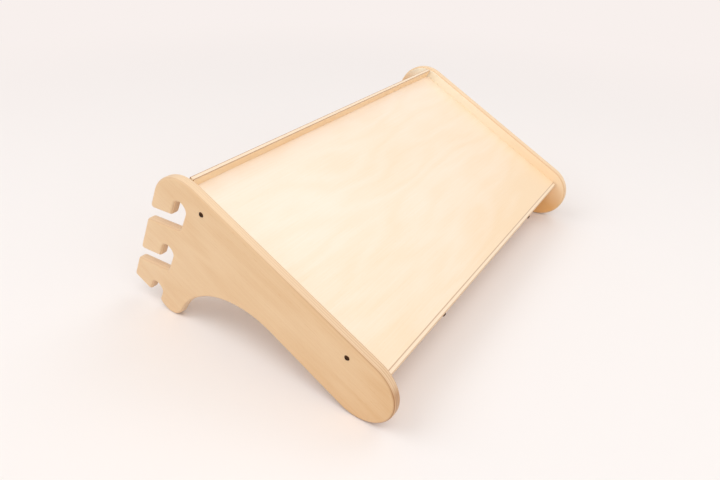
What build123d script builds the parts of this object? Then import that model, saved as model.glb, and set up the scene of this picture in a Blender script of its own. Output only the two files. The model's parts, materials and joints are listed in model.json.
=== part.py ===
from build123d import *
import os
from math import acos, asin, atan2, cos, degrees, radians, sin, sqrt, tan

# Plywood slide board for toddlers, in millimetres: a flat deck between two shaped cheeks, whose back
# edges hook over the rungs of a climbing frame.
# Every piece is drawn on the level board first: X runs down the board from the cheeks' back edge,
# Y across it from the middle, and Z square to it from the cheeks' top edge. Then the board is tilted
# until the feet and the noses of its cheeks stand on the floor.
# Left and right are seen from the hook end, looking down the board.

# Deck and its place between the cheeks
DECK_WIDTH = 800.0
DECK_LENGTH = 424.4
DECK_THICKNESS = 12.0
DECK_SETBACK = 56.4
LIP = 23.7

# Laths along the deck's two long edges, which stop short of the cheeks
RAIL_THICKNESS = 9.0
RAIL_RISE = 18.0
RAIL_END_GAP = 3.0
RAIL_ROUND = 2.0
RAIL_EASE = 0.6

# Slots for the rungs
RUNG_DIAMETER = 25.0
RUNG_PLAY = 1.0
SLOT_COUNT = 3
SLOT_PITCH = 117.0
POCKET_SETBACK = 60.6
POCKET_TOP = 49.0
POCKET_TRAVEL = 35.3
LAST_POCKET_DEPTH = 36.7
CHANNEL_ANGLE = 30.0

# Cheeks
CHEEK_THICKNESS = 18.0
HEAD_RADIUS = 73.0
NOSE_RADIUS = 67.0
NOSE_OVERHANG = 42.8
BEAM_DEPTH = 130.0
ARCH_RADIUS = 170.5
FOOT_DROP = 6.3
FOOT_WIDTH = 55.5
FOOT_RADIUS = 34.5
TOOTH_ROUND = 6.0
TOOTH_SHOULDER_ROUND = 10.0
EDGE_ROUND = 5.0

# Bolts with button heads and hex sockets
BOLT_DIAMETER = 5.0
BOLT_PLAY = 0.6
BOLT_TIP = 0.8
BOLT_RUNOUT = 6.0
BORE_SPARE = 2.0
HEAD_DIAMETER = 9.5
HEAD_HEIGHT = 2.75
SOCKET_WIDTH = 3.0
SOCKET_DEPTH = 1.6
UPPER_BOLT_INSET = 47.5
LOWER_BOLT_INSET = 56.7
RAIL_BOLT_INSET = 191.0

# Barrel nuts in the deck's underside
NUT_DIAMETER = 10.0
NUT_LENGTH = 10.0
NUT_PLAY = 0.2
THREAD_PLAY = 0.1
NUT_EASE = 0.5
NUT_SLOT_WIDTH = 1.2
NUT_SLOT_DEPTH = 1.0
CHEEK_NUT_INSET = 26.0
RAIL_NUT_INSET = 25.0

# Places that follow from these sizes
DECK_FRONT = DECK_SETBACK + DECK_LENGTH
DECK_MIDDLE = -(LIP + DECK_THICKNESS / 2)
DECK_UNDERSIDE = -(LIP + DECK_THICKNESS)
RAIL_HEIGHT = DECK_THICKNESS + RAIL_RISE
RAIL_LENGTH = DECK_WIDTH - 2 * RAIL_END_GAP
SLOT_RADIUS = (RUNG_DIAMETER + RUNG_PLAY) / 2
CHEEK_LENGTH = DECK_FRONT + RAIL_THICKNESS + NOSE_OVERHANG
TEETH_DEPTH = POCKET_TOP + (SLOT_COUNT - 1) * SLOT_PITCH + LAST_POCKET_DEPTH
FOOT_BACK = POCKET_SETBACK + SLOT_RADIUS
NOSE = Vector(CHEEK_LENGTH - NOSE_RADIUS, -NOSE_RADIUS)
FOOT = Vector(FOOT_BACK + FOOT_WIDTH - FOOT_RADIUS, FOOT_RADIUS - TEETH_DEPTH - FOOT_DROP)
ARCH_LEVEL = -(BEAM_DEPTH + ARCH_RADIUS)
ARCH_RISE = asin((ARCH_LEVEL - FOOT.Y) / (FOOT_RADIUS + ARCH_RADIUS))
ARCH = Vector(FOOT.X + (FOOT_RADIUS + ARCH_RADIUS) * cos(ARCH_RISE), ARCH_LEVEL)


def underside_angle():
    """Direction square to the straight underside, which touches the nose's round and the arch's."""
    apart = NOSE - ARCH
    return atan2(apart.Y, apart.X) + acos((NOSE_RADIUS + ARCH_RADIUS) / apart.length)


def tilt_angle():
    """Slope of the board when the rounds of its feet and noses stand on one floor."""
    apart = NOSE - FOOT
    return atan2(apart.Y, apart.X) - asin((NOSE_RADIUS - FOOT_RADIUS) / apart.length)


def cheek_body():
    """Cheek's outline before its slots are cut: top edge, nose, underside, arch, foot and head.
    The foot's round runs on into the last slot, which cuts its end away."""
    lean = underside_angle()
    square = Vector(cos(lean), sin(lean))
    join = degrees(ARCH_RISE)
    foot_end = -degrees(acos((FOOT_BACK - SLOT_RADIUS / 2 - FOOT.X) / FOOT_RADIUS))
    foot_round = CenterArc(FOOT, FOOT_RADIUS, join, foot_end - join)
    outline = [
        Line((HEAD_RADIUS, 0), (NOSE.X, 0)),
        CenterArc(NOSE, NOSE_RADIUS, 90, degrees(lean) - 270),
        Line(NOSE - square * NOSE_RADIUS, ARCH + square * ARCH_RADIUS),
        CenterArc(ARCH, ARCH_RADIUS, degrees(lean), 180 + join - degrees(lean)),
        foot_round,
        Line(foot_round @ 1, (POCKET_SETBACK, -TEETH_DEPTH)),
        Line((POCKET_SETBACK, -TEETH_DEPTH), (0, -TEETH_DEPTH)),
        Line((0, -TEETH_DEPTH), (0, -HEAD_RADIUS)),
        CenterArc((HEAD_RADIUS, -HEAD_RADIUS), HEAD_RADIUS, 180, -90),
    ]
    return make_face(Curve() + outline)


def slot_elbow(index):
    """Point where a slot turns from its sloping channel up into its pocket."""
    return Vector(POCKET_SETBACK, -(POCKET_TOP + SLOT_RADIUS + POCKET_TRAVEL + index * SLOT_PITCH))


def rung_slot(index):
    """Room that a rung sweeps on its way in through the channel and up into the pocket."""
    slope = radians(CHANNEL_ANGLE)
    elbow = slot_elbow(index)
    seat = elbow + Vector(0, POCKET_TRAVEL)
    outside = elbow - Vector(cos(slope), sin(slope)) * (POCKET_SETBACK / cos(slope) + SLOT_RADIUS * 2)
    run = (outside - elbow).length
    width = 2 * SLOT_RADIUS
    pocket = SlotCenterToCenter(POCKET_TRAVEL, width, rotation=90)
    channel = SlotCenterToCenter(run, width, rotation=CHANNEL_ANGLE)
    return Pos(*(elbow + seat) * 0.5) * pocket + Pos(*(elbow + outside) * 0.5) * channel


def tooth_corners():
    """Corners of the teeth between the slots: the sharper ones, and the wide shoulders above each tooth."""
    slope = radians(CHANNEL_ANGLE)
    half_mouth = SLOT_RADIUS / cos(slope)
    corners = [Vector(0, -TEETH_DEPTH)]
    shoulders = []
    for index in range(SLOT_COUNT):
        elbow = slot_elbow(index)
        mouth = elbow - Vector(POCKET_SETBACK, POCKET_SETBACK * tan(slope))
        tip = elbow + Vector(-SLOT_RADIUS, half_mouth - SLOT_RADIUS * tan(slope))
        last = index == SLOT_COUNT - 1
        corners.append(Vector(tip.X, -TEETH_DEPTH) if last else tip)
        if last:
            corners.append(Vector(FOOT_BACK, FOOT.Y - sqrt(FOOT_RADIUS**2 - (FOOT.X - FOOT_BACK)**2)))
        else:
            corners.append(mouth + Vector(0, half_mouth))
            shoulders.append(mouth - Vector(0, half_mouth))
    return corners, shoulders


def corner_nearest(face, point):
    return min(face.vertices(), key=lambda corner: (Vector(corner) - point).length)


def round_corners(face, points, radius):
    for point in points:
        face = fillet(corner_nearest(face, point), radius)
    return face


def cheek():
    """One cheek, standing on edge about Y = 0, with every outline edge rounded over."""
    face = cheek_body()
    for index in range(SLOT_COUNT):
        face -= rung_slot(index)
    corners, shoulders = tooth_corners()
    face = round_corners(face, corners, TOOTH_ROUND)
    face = round_corners(face, shoulders, TOOTH_SHOULDER_ROUND)
    board = extrude(Plane.XZ * face, CHEEK_THICKNESS / 2, both=True)
    sides = board.faces().filter_by(Axis.Y)
    return fillet(sides.edges(), EDGE_ROUND)


def bolted_joints():
    """Each bolted joint: its name, the seat of the bolt's head, the way in, the grip and the nut's inset."""
    joints = []
    for side, way in (("right", 1), ("left", -1)):
        y = -way * (DECK_WIDTH / 2 + CHEEK_THICKNESS)
        ends = {"upper": DECK_SETBACK + UPPER_BOLT_INSET, "lower": DECK_FRONT - LOWER_BOLT_INSET}
        for end, x in ends.items():
            seat = Vector(x, y, DECK_MIDDLE)
            joints.append((f"{side}_{end}", seat, Vector(0, way, 0), CHEEK_THICKNESS, CHEEK_NUT_INSET))
        y = -way * (DECK_WIDTH / 2 - RAIL_BOLT_INSET)
        rails = {"back": (DECK_SETBACK - RAIL_THICKNESS, 1), "front": (DECK_FRONT + RAIL_THICKNESS, -1)}
        for end, (x, inward) in rails.items():
            seat = Vector(x, y, DECK_MIDDLE)
            joints.append((f"{end}_{side}", seat, Vector(inward, 0, 0), RAIL_THICKNESS, RAIL_NUT_INSET))
    return joints


def bolt_length(grip, nut_inset):
    return grip + nut_inset + BOLT_RUNOUT


def along(seat, inward):
    """Place whose Z axis points out of the joint, with its origin on the bolt head's seat."""
    return Plane(origin=seat, x_dir=(0, 0, 1), z_dir=-inward).location


def bolt(length):
    """Button-head bolt on the Z axis: the head's seat at Z = 0, the shank below it."""
    radius = BOLT_DIAMETER / 2
    dome = (HEAD_DIAMETER**2 / 4 + HEAD_HEIGHT**2) / (2 * HEAD_HEIGHT)
    rim = Vector(HEAD_DIAMETER / 2, 0)
    crown = Vector(0, HEAD_HEIGHT)
    shank = Polyline(
        crown, (0, -length), (radius - BOLT_TIP, -length), (radius, BOLT_TIP - length), (radius, 0), rim
    )
    profile = make_face(Curve() + [shank, RadiusArc(rim, crown, -dome)])
    body = revolve(Plane.XZ * profile, Axis.Z)
    socket = RegularPolygon(SOCKET_WIDTH / 2, 6, major_radius=False)
    return body - Pos(0, 0, HEAD_HEIGHT) * extrude(socket, -SOCKET_DEPTH)


def barrel_nut(inward):
    """Barrel nut about its own middle, upright, with a cross hole for the bolt and a slot to turn it by."""
    nut = Cylinder(NUT_DIAMETER / 2, NUT_LENGTH)
    nut = chamfer(nut.edges().filter_by(GeomType.CIRCLE), NUT_EASE)
    across = Plane(origin=(0, 0, 0), z_dir=inward)
    nut -= across * Cylinder((BOLT_DIAMETER + THREAD_PLAY) / 2, 2 * NUT_DIAMETER)
    floor = Pos(0, 0, -NUT_LENGTH / 2)
    slot = Box(2 * NUT_DIAMETER, NUT_SLOT_WIDTH, 2 * NUT_SLOT_DEPTH)
    return nut - floor * Plane(origin=(0, 0, 0), x_dir=inward).location * slot


def bolt_bore(seat, inward, length):
    """Clearance hole for a bolt, from its seat to a little past its tip."""
    depth = length + BORE_SPARE
    hole = Cylinder((BOLT_DIAMETER + BOLT_PLAY) / 2, depth, align=(Align.CENTER, Align.CENTER, Align.MAX))
    return along(seat, inward) * hole


def nut_place(seat, inward, grip, nut_inset):
    return seat + inward * (grip + nut_inset)


def nut_hole(middle):
    """Blind hole from the deck's underside to the nut's top end."""
    depth = middle.Z + NUT_LENGTH / 2 - DECK_UNDERSIDE
    hole = Cylinder((NUT_DIAMETER + NUT_PLAY) / 2, depth, align=(Align.CENTER, Align.CENTER, Align.MIN))
    return Pos(middle.X, middle.Y, DECK_UNDERSIDE) * hole


def deck():
    """Flat panel that butts against both cheeks and both rails."""
    low_corner = (Align.MIN, Align.CENTER, Align.MIN)
    panel = Box(DECK_LENGTH, DECK_WIDTH, DECK_THICKNESS, align=low_corner)
    return Pos(DECK_SETBACK, 0, DECK_UNDERSIDE) * panel


def rail():
    """Lath that stands on the deck's underside level behind its back edge, with its free side rounded."""
    low_corner = (Align.MAX, Align.CENTER, Align.MIN)
    lath = Box(RAIL_THICKNESS, RAIL_LENGTH, RAIL_HEIGHT, align=low_corner)
    lath = fillet(lath.faces().sort_by(Axis.Z)[-1].edges().filter_by(Axis.Y), RAIL_ROUND)
    outer_edge = lath.edges().filter_by(Axis.Y).group_by(Axis.Z)[0].sort_by(Axis.X)[0]
    return chamfer(outer_edge, RAIL_EASE)


def board_pieces():
    """Every piece by name, on the level board."""
    half = (DECK_WIDTH + CHEEK_THICKNESS) / 2
    side = cheek()
    pieces = {
        "right_cheek": Pos(0, -half, 0) * side,
        "left_cheek": Pos(0, half, 0) * side,
        "deck": deck(),
        "back_rail": Pos(DECK_SETBACK, 0, DECK_UNDERSIDE) * rail(),
        "front_rail": Pos(DECK_FRONT, 0, -LIP) * Rot(0, 180, 0) * rail(),
    }
    for name, seat, inward, grip, nut_inset in bolted_joints():
        length = bolt_length(grip, nut_inset)
        bore = bolt_bore(seat, inward, length)
        middle = nut_place(seat, inward, grip, nut_inset)
        held = f"{name.split('_')[0]}_{'cheek' if inward.Y else 'rail'}"
        pieces[held] -= bore
        pieces["deck"] -= [bore, nut_hole(middle)]
        pieces[f"bolt_{name}"] = along(seat, inward) * bolt(length)
        pieces[f"barrel_nut_{name}"] = Pos(*middle) * barrel_nut(inward)
    return pieces


def stand_on_floor(pieces):
    """Tilts the board, and puts the origin on the floor under the middle of it."""
    tilt = Rot(0, degrees(tilt_angle()), 0)
    stance = (tilt * pieces["right_cheek"]).bounding_box()
    place = Pos(-stance.center().X, 0, -stance.min.Z) * tilt
    return {name: place * piece for name, piece in pieces.items()}


os.makedirs("parts", exist_ok=True)
for node, piece in stand_on_floor(board_pieces()).items():
    export_step(piece, f"parts/{node}.step")
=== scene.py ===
import json
import math

import bpy
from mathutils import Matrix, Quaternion, Vector

# Slide board of birch plywood on a pale studio floor. The solids keep their shapes: this script gives them
# their finishes, and adds the floor, the light and the camera.

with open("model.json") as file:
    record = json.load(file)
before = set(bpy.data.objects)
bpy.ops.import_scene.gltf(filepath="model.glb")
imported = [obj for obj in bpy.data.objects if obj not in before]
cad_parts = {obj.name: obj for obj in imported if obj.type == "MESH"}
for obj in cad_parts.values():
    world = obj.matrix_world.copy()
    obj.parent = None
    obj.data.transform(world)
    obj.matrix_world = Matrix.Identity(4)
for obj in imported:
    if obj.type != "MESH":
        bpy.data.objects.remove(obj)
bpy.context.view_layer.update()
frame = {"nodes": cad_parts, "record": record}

METRE = 1000.0
MM = 1 / METRE

# Camera, in metres: its place and the point it looks at, then its lean in degrees and its lens
CAMERA_PLACE = Vector((0.5466, -0.9141, 0.7150))
CAMERA_AIM = Vector((0.0978, -0.2215, 0.1827))
CAMERA_LEAN = 2.237
LENS_MM = 27.83
SENSOR_MM = 36.0

# Plies in each sheet, an odd number so that both faces run the same way. Real birch plies are about 1.4 mm
# thick; these are a little thicker, so that the stripes on the edges show at the picture's size.
CHEEK_PLIES = 9
DECK_PLIES = 7
RAIL_PLIES = 5

# Depth in its sheet, in millimetres, of a second face that is painted light above the deck and painted shade
# under it: the cheeks' inner face and the deck's underside. Points within the reach belong to that face.
INNER_FACE = 0.0
UNDERSIDE = 12.0
FACE_REACH = 0.4

# Figure of the birch veneer, in millimetres along the grain and across it
FLAME = (420.0, 95.0)
STREAK = (90.0, 2.6)
FLECK = (12.0, 1.4)
CLOUD = (320.0, 240.0)
FLAME_RINGS = 44.0

# Parts of each noise that are spread from clear to full, and how much each kind of figure darkens the veneer
STREAK_SPREAD = (0.3, 0.7)
FLECK_SPREAD = (0.62, 0.74)
CLOUD_SPREAD = (0.3, 0.7)
RING_SWING = 0.08
RING_MEAN = 0.11
STREAK_WEIGHT = 0.2
FLECK_WEIGHT = 0.2
CLOUD_WEIGHT = 0.42

# Stretches of the board, in millimetres from the deck's middle, over which painted shade turns the veneer
# darker
# and warmer: down the board, across it to the far side, and at the noses. Then how much it turns.
LOW_END = (-220.0, 300.0)
FAR_SIDE = (-200.0, 400.0)
NOSES = (130.0, 300.0)
LOW_END_WEIGHT = 0.33
CORNER_WEIGHT = 0.8
NOSE_WEIGHT = 0.4

# Heights over the deck, in millimetres, over which a second face turns from painted shade under the deck to
# painted light above it, and how much its orange painted shade toward the low end shows through the figure
SHADED_TO_LIT = (-60.0, 5.0)
VEIN_AND_SHADE_WEIGHT = 0.45

# Cut edges, in millimetres: heights over the deck below which they are painted browner as shade, the stretch
# down the board over which painted shade browns them more toward the low end, and the one across it over
# which they turn less brown toward the far side. Then the share of their browning that all plies have alike.
EDGE_SHADE_HEIGHTS = (4.0, 14.0)
LOW_END_EDGE_SHADE = (-110.0, 220.0)
FAR_SIDE_EDGE_FADE = (-400.0, 400.0)
EVEN_SHARE = 0.5

# Bounds of an outer ply and of a glue line, in plies, and how far in the first glue line begins
OUTER_PLY = (0.9, 1.1)
GLUE_LINE = (0.04, 0.18)
GLUE_START = (0.4, 0.7)
GLUE_STRENGTH = 0.2
GLUE_COLOUR = "#A36A38"

# Satin lacquer over pale wood and over figured wood, and the relief of the grain under it
LACQUER_ROUGHNESS = (0.38, 0.5)
GRAIN_STRENGTH = 0.12
GRAIN_RELIEF_MM = 0.1

# Patches in the finish of the steel, in millimetres
OXIDE_PATCH_MM = 1.5
ZINC_BLOOM_MM = 4.0

# Stage, in metres: the floor, and the distances from its middle over which it fades into the room's colour
FLOOR_SIZE = 16.0
FADING = (0.7, 2.5)
ROOM_COLOUR = "#F8F0ED"
PAPER_COLOUR = "#F7F1EE"

# Light: the softboxes' side and the two points that they face, in metres, and the room's strength
SOFTBOX_SIDE = 3.2
BOARD_MIDDLE = (0, 0, 0.1)
FLOOR_BEHIND = (0.2, 1.6, 0)
ROOM_STRENGTH = 0.54

# The board's own axes: x down it, y across it, z square to its deck, from the middle of the deck's face
deck_face = next(mount for mount in frame["record"]["mounts"] if mount["name"] == "deck_face")
deck_middle = Vector(deck_face["pos_m"])
square = Vector(deck_face["axis"])
tilt = math.atan2(square.x, square.z)
AXES = {"x": Vector((square.z, 0, -square.x)), "y": Vector((0, 1, 0)), "z": square}


def linear(code):
    """Linear colour of an sRGB hex value."""
    parts = [int(code[i:i + 2], 16) / 255 for i in (1, 3, 5)]
    return [c / 12.92 if c <= 0.04045 else ((c + 0.055) / 1.055) ** 2.4 for c in parts] + [1.0]


def add(tree, kind, inputs=None, **settings):
    """Adds a node. Settings go on it; each input takes a value, a socket or another node's first output."""
    made = tree.nodes.new("ShaderNode" + kind)
    for key, value in settings.items():
        setattr(made, key, value)
    for key, value in (inputs or {}).items():
        named = [socket for socket in made.inputs if socket.enabled and socket.name == key]
        socket = named[0] if named else made.inputs[key]
        if isinstance(value, bpy.types.Node):
            value = next(output for output in value.outputs if output.enabled)
        if isinstance(value, bpy.types.NodeSocket):
            tree.links.new(value, socket)
        else:
            socket.default_value = value
    return made


def new_material(name, constants):
    """A material with its shader, whose constant inputs are set on the shader's own sockets."""
    material = bpy.data.materials.new(name)
    material.use_nodes = True
    tree = material.node_tree
    tree.nodes.clear()
    shader = add(tree, "BsdfPrincipled", constants)
    add(tree, "OutputMaterial", {"Surface": shader})
    return material, tree, shader


def board_places(tree):
    """Distances from the deck's middle along the board's axes, in millimetres."""
    here = add(tree, "TexCoord").outputs["Object"]
    start = -(Quaternion((0, 1, 0), -tilt) @ deck_middle) * METRE
    turned = {"Vector": here, "Location": start, "Rotation": (0, -tilt, 0), "Scale": [METRE] * 3}
    return dict(zip("xyz", add(tree, "SeparateXYZ", {0: add(tree, "Mapping", turned)}).outputs))


def sheet_span(nodes, axis):
    """How near to the deck's middle a sheet or a pair begins along a board axis, and how far it reaches."""
    points = [vertex.co for node in nodes for vertex in frame["nodes"][node].data.vertices]
    places = [abs((point - deck_middle).dot(AXES[axis])) * METRE for point in points]
    return min(places), max(places)


def figure(tree, sheet, size, detail, spread=(0.0, 1.0)):
    """Noise stretched along the grain to a length and a width, with part of its values spread over all."""
    scale = {"Vector": sheet, "Scale": (1 / size[0], 1 / size[1], 1 / size[1])}
    noise = add(tree, "TexNoise", {"Vector": add(tree, "Mapping", scale), "Scale": 1.0, "Detail": detail})
    return add(tree, "MapRange", {"Value": noise, "From Min": spread[0], "From Max": spread[1]})


def birch_plywood(name, nodes, through, grain, plies, colours, strength, stripes, edge_shade, second_face=None):
    """Birch plywood under clear satin lacquer, solid through its thickness. Its face veneer is pale, with a
    soft flame figure, fine streaks and short flecks, and with painted shade that turns it darker and warmer
    toward the low end, the far low corner and the noses. Its edges are faintly striped: where an edge cuts
    across a ply's grain, the open pores drink in lacquer and look browner, most of all in the two outer
    plies, whose brown at the rounded arrises is partly painted shade. Through is the board axis across the
    sheet, and grain the one that the face veneer runs along. Stripes gives how brown the inner plies turn, on
    edges level with the deck or under it, painted browner as shade, and on edges higher up, then the same for
    the two outer plies. The argument after stripes scales these at the board's high end, at its low end and
    on its far side, with painted shade browning the low end most. Second_face is the depth of a face that is
    painted light above the deck and painted shade under it."""
    material, tree, shader = new_material(name, {"IOR": 1.5, "Coat Weight": 0.2, "Coat Roughness": 0.3})
    colour = {part: linear(code) for part, code in colours.items()}
    place = board_places(tree)
    across = next(axis for axis in AXES if axis not in (through, grain))
    sheet = add(tree, "CombineXYZ", {0: place[grain], 1: place[across], 2: place[through]})

    # How deep in the sheet a point lies, and in which ply, both counted from the deck's middle outwards
    low, high = sheet_span(nodes, through)
    depth = add(tree, "Math", {0: add(tree, "Math", {0: place[through]}, operation="ABSOLUTE"), 1: low},
                operation="SUBTRACT")
    level = add(tree, "Math", {0: depth, 1: (high - low) / plies}, operation="DIVIDE")
    ply = add(tree, "Clamp", {0: add(tree, "Math", {0: level}, operation="FLOOR"), 1: 0.0, 2: plies - 1.0})
    crosswise = add(tree, "Math", {0: ply, 1: 2.0}, operation="MODULO")
    inside = add(tree, "Math", {0: level, 1: plies / 2}, operation="PINGPONG")
    outer = add(tree, "MapRange", {"Value": inside, "From Min": OUTER_PLY[0], "From Max": OUTER_PLY[1],
                                   "To Min": 1.0, "To Max": 0.0})

    # How much end grain each ply shows, by the way the surface faces
    normal = add(tree, "NewGeometry").outputs["Normal"]
    faces = []
    for axis in (grain, across):
        cosine = add(tree, "VectorMath", {0: normal, 1: AXES[axis]}, operation="DOT_PRODUCT")
        faces.append(add(tree, "Math", {0: cosine, 1: cosine}, operation="MULTIPLY"))
    edge = add(tree, "Math", {0: faces[0], 1: faces[1]}, operation="ADD", use_clamp=True)
    end_grain = add(tree, "Mix", {"Factor": crosswise, "A": faces[0], "B": faces[1]})
    end_grain = add(tree, "Mix", {"Factor": EVEN_SHARE, "A": end_grain, "B": edge})

    # How brown it turns: in the inner plies, in the outer ones, and along and across the board. Low edges and
    # the low end are painted browner as shade, and the outer plies' brown at the rounded arrises is partly
    # painted shade
    inner_stripe = add(tree, "MapRange", {"Value": place["z"], "From Min": EDGE_SHADE_HEIGHTS[0], "From Max": EDGE_SHADE_HEIGHTS[1],
                                          "To Min": stripes[0], "To Max": stripes[1]})
    outer_stripe = add(tree, "MapRange", {"Value": place["z"], "From Min": EDGE_SHADE_HEIGHTS[0], "From Max": EDGE_SHADE_HEIGHTS[1],
                                          "To Min": stripes[2], "To Max": stripes[3]})
    low_end_edge_shade = add(tree, "MapRange", {"Value": place["x"], "From Min": LOW_END_EDGE_SHADE[0], "From Max": LOW_END_EDGE_SHADE[1],
                                    "To Min": edge_shade[0], "To Max": edge_shade[1]})
    far_side_edge_fade = add(tree, "MapRange", {"Value": place["y"], "From Min": FAR_SIDE_EDGE_FADE[0], "From Max": FAR_SIDE_EDGE_FADE[1],
                                   "To Min": 1.0, "To Max": edge_shade[2]})
    core = add(tree, "Math", {0: end_grain, 1: inner_stripe}, operation="MULTIPLY")
    rim = add(tree, "Math", {0: edge, 1: outer_stripe}, operation="MULTIPLY")
    browning = add(tree, "Mix", {"Factor": outer, "A": core, "B": rim})
    browning = add(tree, "Math", {0: browning, 1: low_end_edge_shade}, operation="MULTIPLY")
    browning = add(tree, "Math", {0: browning, 1: far_side_edge_fade}, operation="MULTIPLY", use_clamp=True)

    # Glue lines between the plies, but not on the outer faces
    gap = add(tree, "Math", {0: level, 1: 0.5}, operation="PINGPONG")
    line = add(tree, "MapRange", {"Value": gap, "From Min": GLUE_LINE[0], "From Max": GLUE_LINE[1],
                                  "To Min": GLUE_STRENGTH, "To Max": 0.0})
    begun = add(tree, "MapRange", {"Value": inside, "From Min": GLUE_START[0], "From Max": GLUE_START[1]})
    glue = add(tree, "Math", {0: line, 1: begun}, operation="MULTIPLY")

    # Figure of the veneer, and painted shade that turns it darker and warmer toward the low end, the far low
    # corner and the noses
    flame = figure(tree, sheet, FLAME, detail=1.5)
    turns = add(tree, "Math", {0: flame, 1: FLAME_RINGS}, operation="MULTIPLY")
    rings = add(tree, "Math", {0: turns}, operation="SINE")
    streaks = figure(tree, sheet, STREAK, detail=3.0, spread=STREAK_SPREAD)
    flecks = figure(tree, sheet, FLECK, detail=1.0, spread=FLECK_SPREAD)
    clouds = figure(tree, sheet, CLOUD, detail=2.0, spread=CLOUD_SPREAD)
    low_end = add(tree, "MapRange", {"Value": place["x"], "From Min": LOW_END[0], "From Max": LOW_END[1]})
    far_side = add(tree, "MapRange", {"Value": place["y"], "From Min": FAR_SIDE[0], "From Max": FAR_SIDE[1]})
    corner = add(tree, "Math", {0: low_end, 1: far_side}, operation="MULTIPLY")
    nose = add(tree, "MapRange", {"Value": place["x"], "From Min": NOSES[0], "From Max": NOSES[1]})
    shade = add(tree, "Math", {0: rings, 1: RING_SWING, 2: RING_MEAN}, operation="MULTIPLY_ADD")
    for part, weight in ((streaks, STREAK_WEIGHT), (flecks, FLECK_WEIGHT), (clouds, CLOUD_WEIGHT),
                         (low_end, LOW_END_WEIGHT), (corner, CORNER_WEIGHT), (nose, NOSE_WEIGHT)):
        shade = add(tree, "Math", {0: part, 1: weight, 2: shade}, operation="MULTIPLY_ADD")
    shade = add(tree, "Math", {0: shade, 1: strength}, operation="MULTIPLY", use_clamp=True)

    # What lies over the face veneer, from the first layer to the last. The cut edges' own colour is paler
    # than most of the face on the cheeks and rails, partly as painted light on their lit top edges.
    layers = [(edge, colour["cut_edge"]), (browning, colour["browned"]), (glue, linear(GLUE_COLOUR))]

    # The second face: painted shade far under the deck, painted light above it, and orange painted shade
    # through the figure toward the low end
    if second_face is not None:
        lip = add(tree, "MapRange", {"Value": place["z"], "From Min": SHADED_TO_LIT[0], "From Max": SHADED_TO_LIT[1]})
        plain = add(tree, "Mix", {"Factor": lip, "A": colour["under_deck_shade"], "B": colour["inner"]}, data_type="RGBA")
        vein_and_shade = add(tree, "Math", {0: shade, 1: low_end}, operation="MULTIPLY")
        veined_and_shaded = add(tree, "Mix", {"Factor": vein_and_shade, "A": plain, "B": colour["amber_shade"]}, data_type="RGBA")
        second = add(tree, "Mix", {"Factor": VEIN_AND_SHADE_WEIGHT, "A": plain, "B": veined_and_shaded}, data_type="RGBA")
        behind = add(tree, "Math", {0: depth, 1: second_face, 2: FACE_REACH}, operation="COMPARE")
        layers.insert(0, (behind, second))

    # Colour, gloss and relief
    wood = add(tree, "Mix", {"Factor": shade, "A": colour["pale"], "B": colour["figured"]}, data_type="RGBA")
    for factor, over in layers:
        wood = add(tree, "Mix", {"Factor": factor, "A": wood, "B": over}, data_type="RGBA")
    tree.links.new(wood.outputs[2], shader.inputs["Base Color"])
    smooth, dull = LACQUER_ROUGHNESS
    rough = add(tree, "MapRange", {"Value": shade, "To Min": smooth, "To Max": dull})
    tree.links.new(rough.outputs[0], shader.inputs["Roughness"])
    ridge = add(tree, "Math", {0: streaks, 1: flecks}, operation="SUBTRACT")
    bump = add(tree, "Bump", {"Height": ridge, "Strength": GRAIN_STRENGTH, "Distance": GRAIN_RELIEF_MM * MM})
    tree.links.new(bump.outputs[0], shader.inputs["Normal"])
    return material


def steel(name, patch_mm, detail, colours, roughness):
    """Steel under a thin finish that lies in soft patches, some a little lighter or duller than others."""
    material, tree, shader = new_material(name, {"Metallic": 1.0})
    here = add(tree, "TexCoord").outputs["Object"]
    patches = add(tree, "TexNoise", {"Vector": here, "Scale": METRE / patch_mm, "Detail": detail})
    tones = {"Factor": patches, "A": linear(colours[0]), "B": linear(colours[1])}
    colour = add(tree, "Mix", tones, data_type="RGBA")
    tree.links.new(colour.outputs[2], shader.inputs["Base Color"])
    rough = add(tree, "MapRange", {"Value": patches, "To Min": roughness[0], "To Max": roughness[1]})
    tree.links.new(rough.outputs[0], shader.inputs["Roughness"])
    return material


def finish_nodes(nodes, material):
    """Gives pieces one finish in place of what they had."""
    for node in nodes:
        piece = frame["nodes"][node]
        piece.data.materials.clear()
        piece.data.materials.append(material)


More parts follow.
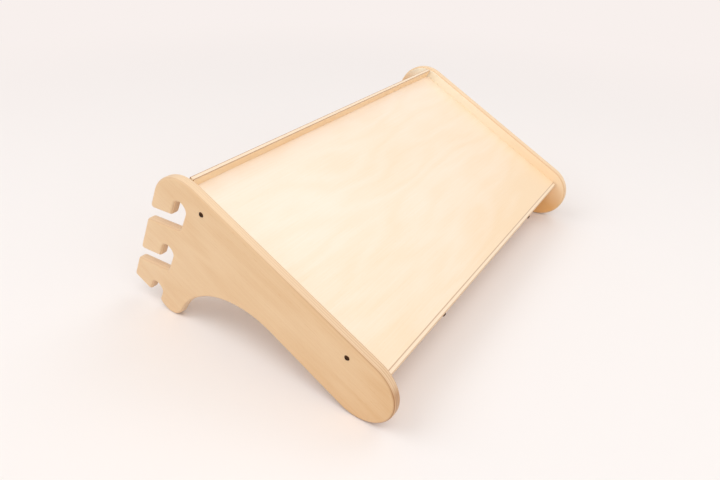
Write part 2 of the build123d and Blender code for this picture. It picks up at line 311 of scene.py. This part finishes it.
def dress_board():
    """Gives every piece its finish."""
    sheets = (
        {"name": "birch_plywood_cheek", "nodes": ["right_cheek", "left_cheek"],
         "through": "y", "grain": "x", "plies": CHEEK_PLIES,
         # Cheeks: the very pale second-face colour is painted light on the lip above the deck, the tan one is
         # painted shade under the deck, and the orange one is painted shade toward the low end
         "colours": {"pale": "#FBDCB2", "figured": "#E7BB87", "browned": "#A8703A", "cut_edge": "#F8D9B2",
                     "inner": "#FFF6E0", "amber_shade": "#FFC06C", "under_deck_shade": "#E7B47B"},
         "strength": 1.0, "stripes": (0.8, 0.36, 1.5, 1.1), "edge_shade": (0.4, 1.3, 0.25),
         "second_face": INNER_FACE},
        {"name": "birch_plywood_deck", "nodes": ["deck"],
         "through": "z", "grain": "y", "plies": DECK_PLIES,
         # Deck: its pale colours are partly a paler veneer and partly painted light on its brightly lit face
         "colours": {"pale": "#FDEFDF", "figured": "#F6DAB6", "browned": "#D9A56A", "cut_edge": "#F7E0BF",
                     # Deck: the tan second-face colour is painted shade on its underside
                     "inner": "#FDEFD9", "amber_shade": "#DE9A4C", "under_deck_shade": "#DE9A4C"},
         "strength": 0.8, "stripes": (0.15, 0.15, 0.4, 0.4), "edge_shade": (1.0, 1.0, 1.0),
         "second_face": UNDERSIDE},
        {"name": "birch_plywood_rail", "nodes": ["back_rail", "front_rail"],
         "through": "x", "grain": "y", "plies": RAIL_PLIES,
         "colours": {"pale": "#FDE2BB", "figured": "#F7CE9C", "browned": "#A8703A", "cut_edge": "#FDE7CA"},
         "strength": 1.0, "stripes": (0.1, 0.1, 0.6, 1.0), "edge_shade": (1.0, 1.0, 1.0)},
    )
    for sheet in sheets:
        finish_nodes(sheet["nodes"], birch_plywood(**sheet))

    # Button-head bolts in black oxide: a deep satin black, browner where the oxide and its oil lie thinner
    oxide = steel("black_oxide_steel", OXIDE_PATCH_MM, 3.0, ("#33231A", "#553C2A"), (0.34, 0.52))
    finish_nodes([node for node in frame["nodes"] if node.startswith("bolt_")], oxide)

    # Turned barrel nuts in bright zinc plating: pale grey metal with a faint cloudy bloom
    zinc = steel("zinc_plated_steel", ZINC_BLOOM_MM, 4.0, ("#C9CBCC", "#B4B3AE"), (0.25, 0.42))
    finish_nodes([node for node in frame["nodes"] if node.startswith("barrel_nut_")], zinc)


def seen_rays(tree):
    """One for the rays that the camera sees straight or in a mirror, none for those that light the object."""
    path = add(tree, "LightPath")
    return add(tree, "Math", {0: path.outputs["Is Camera Ray"], 1: path.outputs["Is Glossy Ray"]},
               operation="MAXIMUM")


def studio_floor():
    """Wide sheet of matt paper, nearly white and a little warm. Far from the board it takes the room's colour
    for the eye and for mirrors, so that its end doesn't show."""
    bpy.ops.object.select_all(action="DESELECT")
    bpy.ops.mesh.primitive_plane_add(size=FLOOR_SIZE)
    floor = bpy.context.object
    floor.name = "studio_floor"
    material, tree, paper = new_material("matt_paper", {"Base Color": linear(PAPER_COLOUR), "Roughness": 0.9})
    here = add(tree, "TexCoord").outputs["Object"]
    distance = add(tree, "VectorMath", {0: here}, operation="LENGTH")
    far = add(tree, "MapRange", {"Value": distance, "From Min": FADING[0], "From Max": FADING[1]},
              interpolation_type="SMOOTHSTEP")
    fading = add(tree, "Math", {0: far, 1: seen_rays(tree)}, operation="MULTIPLY")
    room = add(tree, "Emission", {"Color": linear(ROOM_COLOUR), "Strength": 1.0})
    both = add(tree, "MixShader", {0: fading, 1: paper, 2: room})
    tree.links.new(both.outputs[0], tree.nodes["Material Output"].inputs["Surface"])
    floor.data.materials.append(material)


def softbox(name, place, aim, power):
    """Square white lamp at a place in metres, turned to a point, with a power in watts."""
    lamp = bpy.data.lights.new(name, "AREA")
    lamp.shape = "RECTANGLE"
    lamp.size = lamp.size_y = SOFTBOX_SIDE
    lamp.energy = power
    light = bpy.data.objects.new(name, lamp)
    light.location = place
    light.rotation_mode = "QUATERNION"
    light.rotation_quaternion = (Vector(aim) - Vector(place)).to_track_quat("-Z", "Y")
    bpy.context.scene.collection.objects.link(light)


def studio_light():
    """Soft white room with wide softboxes: front left, front right and behind, high above, and a weak one low
    on the side of the board's low edge."""
    softbox("front_left_softbox", (-2.2, -2.1, 3.8), BOARD_MIDDLE, 61.0)
    softbox("front_right_softbox", (2.3, -1.8, 5.2), BOARD_MIDDLE, 82.0)
    softbox("low_side_softbox", (4.4, -0.6, 1.9), BOARD_MIDDLE, 26.0)
    softbox("back_softbox", (1.4, 3.2, 4.9), FLOOR_BEHIND, 46.0)
    world = bpy.data.worlds.new("white_room")
    bpy.context.scene.world = world
    world.use_nodes = True
    tree = world.node_tree
    tree.nodes.clear()
    room = add(tree, "Background", {"Color": linear("#FFFFFF"), "Strength": ROOM_STRENGTH})
    seen = add(tree, "Background", {"Color": linear(ROOM_COLOUR), "Strength": 1.0})
    both = add(tree, "MixShader", {0: seen_rays(tree), 1: room, 2: seen})
    add(tree, "OutputWorld", {"Surface": both})


def camera():
    """Camera at the photograph's viewing angle."""
    lens = bpy.data.cameras.new("camera")
    lens.lens = LENS_MM
    lens.sensor_width = SENSOR_MM
    lens.clip_end = 2 * FLOOR_SIZE
    holder = bpy.data.objects.new("camera", lens)
    holder.location = CAMERA_PLACE
    holder.rotation_mode = "QUATERNION"
    level = (CAMERA_AIM - CAMERA_PLACE).to_track_quat("-Z", "Y")
    holder.rotation_quaternion = level @ Quaternion((0, 0, 1), math.radians(CAMERA_LEAN))
    bpy.context.scene.collection.objects.link(holder)
    bpy.context.scene.camera = holder


dress_board()
studio_floor()
studio_light()
camera()
bpy.context.scene.view_settings.view_transform = "Standard"
